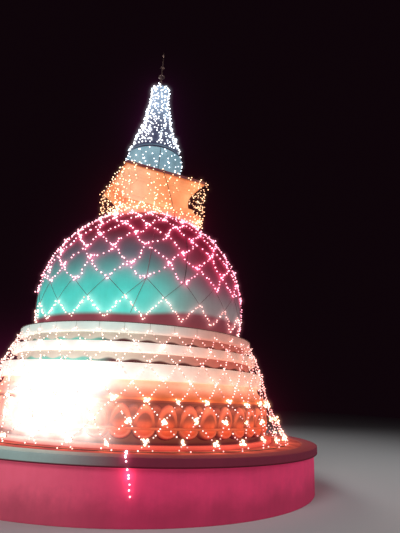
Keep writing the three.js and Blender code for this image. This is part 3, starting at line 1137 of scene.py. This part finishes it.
def dome_run(start, end, steps=6):
    """A run just off the dome's surface from one (azimuth, height) to another."""
    path = []
    for step in range(steps + 1):
        angle, height = (first + (last - first) * step / steps for first, last in zip(start, end))
        path.append(on_turn(angle, math.sqrt(NET_RADIUS ** 2 - (height - DOME_CENTRE) ** 2), height))
    return path


net_paths = [dome_strand(column, way) for column in range(DOME_COLUMNS) for way in (1, -1)]
net_knots = [knot for path in net_paths[::2] for knot in path[::NET_POINTS]]
zigzag = []
ties = [dome_run(*FRONT_WIRE[:2], 12), dome_run(*FRONT_WIRE[1:], 8)]
for column in range(DOME_COLUMNS):
    peak = ((2 * column + 1) * HALF_COLUMN, ZIGZAG_PEAK + draw.uniform(-0.04, 0.04))
    valleys = [(2 * (column + side) * HALF_COLUMN, ZIGZAG_VALLEY) for side in (0, 1)]
    zigzag += [dome_run(valleys[0], peak), dome_run(peak, valleys[1])]
    ties += [dome_run((valley[0], NET_FOOT), peak) for valley in valleys]
tail_angles = [side + math.radians(angle) for side in (0, math.pi) for angle in (57, 63, 70)]
tails = [dome_run((angle, NET_FOOT + 0.2), (angle + draw.uniform(-0.03, 0.03), ZIGZAG_VALLEY), 8)
         for angle in tail_angles]
garland("dome_net", net_paths, "pink_bulb", pitch=0.09, radius=0.018, stray=0.02, knots=net_knots)
garland("dome_tails", tails, "pink_bulb", stray=0.02)
garland("dome_foot", zigzag, "warm_bulb", pitch=0.058, stray=0.02, glow=(1.0, 0.46, 0.46),
        bright=(0.3, 0.9))
wires("dome_ties", ties, TIE_RADIUS)

# %% [markdown]
# ## The net over the rings
#
# A finer net, thirty-six to the round, hangs on short ties from a wire round the top ring. It touches only
# the edges of the cornices and the bell's lip, so its outline is a tent from edge to edge. Below the lip it
# runs straight on, past the petals, to a wire on the terrace. One pink string hangs on over the coping.

# %% Ring strings
HALF_RING_COLUMN = TURN / RING_COLUMNS / 2
RING_NET_TOP = 3.0
RING_NET_FOOT = paving_top + 0.02
RING_NET_STEP = 0.3225
RING_NET_TIERS = (RING_NET_TOP - RING_NET_FOOT) / RING_NET_STEP
RING_NET_POINTS = 6
RING_SAG = 0.1
HANGER = 0.055
ANCHOR_RADIUS = 3.6
YELLOW_BELOW = 1.98
COPING_STRING = math.radians(-19.6)
cornices = [spot(f"ring_{ring}_cornice") for ring in (1, 2, 3)]
top_radius, top_low, top_high = cornices[0]
TENT_EDGES = [
    (RING_NET_FOOT, ANCHOR_RADIUS),
    (BELL_LIP + 0.05, cornice_3 + 0.13),
    *[(high - 0.02, radius) for radius, _, high in cornices[:0:-1]],
    (top_low, top_radius),
    (top_high - 0.02, top_radius),
]


def tent_radius(height):
    """How far out the net hangs at a height."""
    return np.interp(height, *zip(*TENT_EDGES)) + STAND_OFF


def ring_strand(column, way):
    """A string from the wire on the top ring down to the terrace, leaning to one side."""
    path = []
    slacks = [RING_SAG * draw.uniform(0.4, 1.6) for _ in range(int(RING_NET_TIERS) + 1)]
    for step in range(int(RING_NET_TIERS * RING_NET_POINTS) + 2):
        tier = min(step / RING_NET_POINTS, RING_NET_TIERS)
        angle = (2 * column + 1 + way * tier) * HALF_RING_COLUMN
        drift = 0.05 * math.sin(11 * angle + 2.1 * tier) + 0.05 * math.sin(17 * angle - 1.3 * tier)
        drop = max(RING_NET_STEP * (tier + slack(tier, slacks) + min(tier, 1) * drift), HANGER)
        height = max(RING_NET_TOP - drop, RING_NET_FOOT)
        path.append(on_turn(angle, tent_radius(height), height))
    return path


ring_paths = [ring_strand(column, way) for column in range(RING_COLUMNS) for way in (1, -1)]
ring_knots = [knot for path in ring_paths[::2] for knot in path[::RING_NET_POINTS]]
high_knots = [knot for knot in ring_knots if knot.z > YELLOW_BELOW]
low_knots = [knot for knot in ring_knots if knot.z <= YELLOW_BELOW]
garland("ring_net", ring_paths, "warm_bulb", radius=0.014, knots=high_knots, bright=(0.25, 0.85))
garland("petal_knots", [], "amber_bulb", radius=0.022, knots=low_knots * 2, glow=(0.95, 0.38, 0.11),
        bright=(0.5, 1.2))

top_hoop = (top_radius + 0.004, top_high + 0.004)
hangers = [[on_turn((2 * column + 1) * HALF_RING_COLUMN, *top_hoop), ring_paths[2 * column][0]]
           for column in range(RING_COLUMNS)]
# The wire round the top ring is a real hoop, made thick so that it also stands for the dark shadow line at the
# dome's foot.
wires("ring_hoops", [ring_wire(ANCHOR_RADIUS, paving_top + 0.012), ring_wire(*top_hoop)], HOOP_RADIUS)
wires("ring_hangers", hangers, TIE_RADIUS / 2)

over_coping = [
    (0, ANCHOR_RADIUS, RING_NET_FOOT),
    (0, paving_radius, coping_top + 0.02),
    (0, coping_radius + 0.02, coping_top + 0.015),
    (0.01, wall_radius + 0.05, coping_low - 0.03),
    (0.03, wall_radius + 0.025, coping_low - 0.4),
]
coping_path = [on_turn(COPING_STRING + turn, *place) for turn, *place in over_coping]
garland("coping_string", [coping_path], "pink_bulb")

# %% [markdown]
# ## Lights on the harmika, drum and spire
#
# Strings hang all round the harmika from the slab's edge to where its block meets the dome, with extra ones
# at two corners, and their ends lie there in a heap. The drum has a sparse run. The spire's strings hang
# from its flat top, so they crowd where it is narrow, and shorter strings fill the gaps nearer its foot. A
# thick bare wire comes down from the groove over the drum to the net on the dome.

# %% Harmika strings
SIDES = 4
STRANDS_A_SIDE = 10
HEAP_STEPS = 26
EDGE_STEPS = 12


def on_side(side, along, half, height):
    """A place on one of the four sides: along runs from -1 to 1 between the corners."""
    return Matrix.Rotation(side * TURN / SIDES, 3, "Z") @ Vector((along * half, -half, height))


def block_foot(along):
    """The height at which a side of the block meets the dome."""
    return DOME_CENTRE + math.sqrt(DOME_RADIUS ** 2 - block_half ** 2 * (1 + along ** 2))


def curtain_strand(side, along, drift=0.4):
    """One string from the slab's top edge to the block's foot, wandering sideways."""
    end = max(-0.92, min(0.92, along + draw.uniform(-drift, drift)))
    foot = block_foot(end) + 0.04
    path = []
    for share in shares(10):
        sway = draw.uniform(-0.12, 0.12) if 0 < share < 1 else 0
        half = slab_half + STAND_OFF + (block_half - slab_half + 0.012) * share
        height = slab_top + (foot - slab_top) * share
        path.append(on_side(side, along + (end - along) * share + sway, half, height))
    return path


def heap_run(side):
    """An untidy run along the foot of the block on one side."""
    path = []
    for step in range(HEAP_STEPS + 1):
        along = -1 + 2 * step / HEAP_STEPS
        lift = draw.uniform(0.02, 0.3)
        path.append(on_side(side, along, block_half + draw.uniform(0.015, 0.05), block_foot(along) + lift))
    return path


def edge_run(side):
    """A string laid along the slab's top edge."""
    return [on_side(side, -1 + 2 * step / EDGE_STEPS, slab_half + 0.01, slab_top + draw.uniform(0, 0.02))
            for step in range(EDGE_STEPS + 1)]


curtain = []
for side in range(SIDES):
    curtain += [curtain_strand(side, 0.88 * (-1 + 2 * strand / (STRANDS_A_SIDE - 1)))
                for strand in range(STRANDS_A_SIDE)]
    corner = 1 if side % 2 == 0 else -1
    curtain += [curtain_strand(side, along * corner, 0.1) for along in (0.9, 0.98)]
garland("harmika_curtain", curtain, "amber_bulb", pitch=0.13, stray=0.045, bright=(0.2, 0.85))
heap = [heap_run(side) for side in range(SIDES) for _ in range(2)]
garland("harmika_heap", heap, "amber_bulb", pitch=0.12, stray=0.04)
garland("harmika_edge", [edge_run(side) for side in range(SIDES)], "amber_bulb", pitch=0.3)

# %% Drum and spire strings
DRUM_ZIGS = 7
DRUM_POINTS = 12
SPIRE_STRANDS = 26
SPIRE_POINTS = 24
SHORT_STRANDS = 15
SUPPLY_AZIMUTH = math.radians(-9)


def drum_radius_at(height):
    """The drum's radius at a height."""
    radii, heights = zip(*drum_side)
    return np.interp(height, heights, radii)


def drum_path(start):
    """A zigzag round the drum, from its foot to its rim."""
    path = []
    steps = DRUM_ZIGS * DRUM_POINTS
    for step in range(steps + 1):
        wave = abs((step / DRUM_POINTS) % 1 * 2 - 1)
        height = drum_low + 0.08 + (drum_top - drum_low - 0.1) * wave
        path.append(on_turn(start + TURN * step / steps, drum_radius_at(height) + STAND_OFF, height))
    return path


def spire_strand(start, reach=1.0):
    """A string from the spire's foot up toward the rim of its flat top, swaying a little to each side."""
    phase = draw.uniform(0, TURN)
    path = []
    for step in range(SPIRE_POINTS + 1):
        share = reach * step / SPIRE_POINTS
        height = spire_low + 0.06 + (cap_top - spire_low - 0.04) * share
        sway = 0.1 * math.sin(phase + 9 * share) + draw.uniform(-0.06, 0.06)
        path.append(on_turn(start + sway, spire_radius(height) + STAND_OFF, height))
    return path


garland("drum", [drum_path(0), drum_path(0.35)], "ice_bulb", pitch=0.15)
spire_paths = [spire_strand(TURN * strand / SPIRE_STRANDS) for strand in range(SPIRE_STRANDS)]
spire_paths += [spire_strand(TURN * (strand + 0.5) / SHORT_STRANDS, draw.uniform(0.3, 0.6))
                for strand in range(SHORT_STRANDS)]
spire_paths.append(ring_wire(cap_radius - 0.03, cap_top + 0.015, 24))
garland("spire", spire_paths, "ice_bulb", pitch=0.11, radius=0.0195, stray=0.035, bright=(0.35, 1.0))

supply = [on_turn(SUPPLY_AZIMUTH, neck_radius + 0.01, drum_top + 0.03)]
supply += [on_turn(SUPPLY_AZIMUTH, drum_radius_at(height) + STAND_OFF / 2, height)
           for height in (drum_top - 0.02, drum_top - 0.2, drum_top - 0.4, drum_low + 0.1)]
supply += [on_side(0, -0.115, slab_half + 0.008, slab_top + 0.006), on_side(0, 0.0, slab_half, 6.963),
           on_side(0, 0.15, slab_half, 6.527), on_side(0, 0.3, block_half + 0.02, block_foot(0.3) + 0.01)]
supply += dome_run((math.radians(7.5), block_foot(0.3) - 0.1), (0, NET_FOOT), 12)
wires("supply_wire", [supply], HOOP_RADIUS, lit=False)

# %% [markdown]
# ## The light of the bulbs on the walls
#
# Each bulb is a small lamp. What reaches a wall falls with the square of the distance and with how far the
# wall is turned away, so the sum over all bulbs within reach can be worked out for every corner of every
# mesh. Light that goes round corners is left out.

# %% Bulb light
REACH = 0.6
SOFTNESS = 0.05
BATCH = 400
lamp_places = np.array(bulb_places, dtype=np.float32)
lamp_glows = np.array(bulb_glows, dtype=np.float32)


def vectors(mesh, name):
    """A vector of each corner of a mesh: its place, co, or its normal."""
    flat = np.empty(3 * len(mesh.vertices), dtype=np.float32)
    mesh.vertices.foreach_get(name, flat)
    return flat.reshape(-1, 3)


def light_at(places, normals, power):
    """The light that falls on places with those normals."""
    light = np.zeros((len(places), 3))
    for start in range(0, len(places), BATCH):
        some = slice(start, start + BATCH)
        low, high = places[some].min(axis=0) - REACH, places[some].max(axis=0) + REACH
        near = ((lamp_places > low) & (lamp_places < high)).all(axis=1)
        away = lamp_places[near][None] - places[some][:, None]
        facing = np.einsum("ijk,ik->ij", away, normals[some]).clip(0)
        falling = facing / ((away ** 2).sum(axis=2) + SOFTNESS ** 2) ** 1.5
        light[some] = power * falling @ lamp_glows[near]
    return light


for piece, power in lit_pieces:
    mesh = piece.data
    stored_colours(mesh, light_at(vectors(mesh, "co"), vectors(mesh, "normal"), power))
print("bulbs:", len(lamp_places), "pieces lit:", len(lit_pieces))
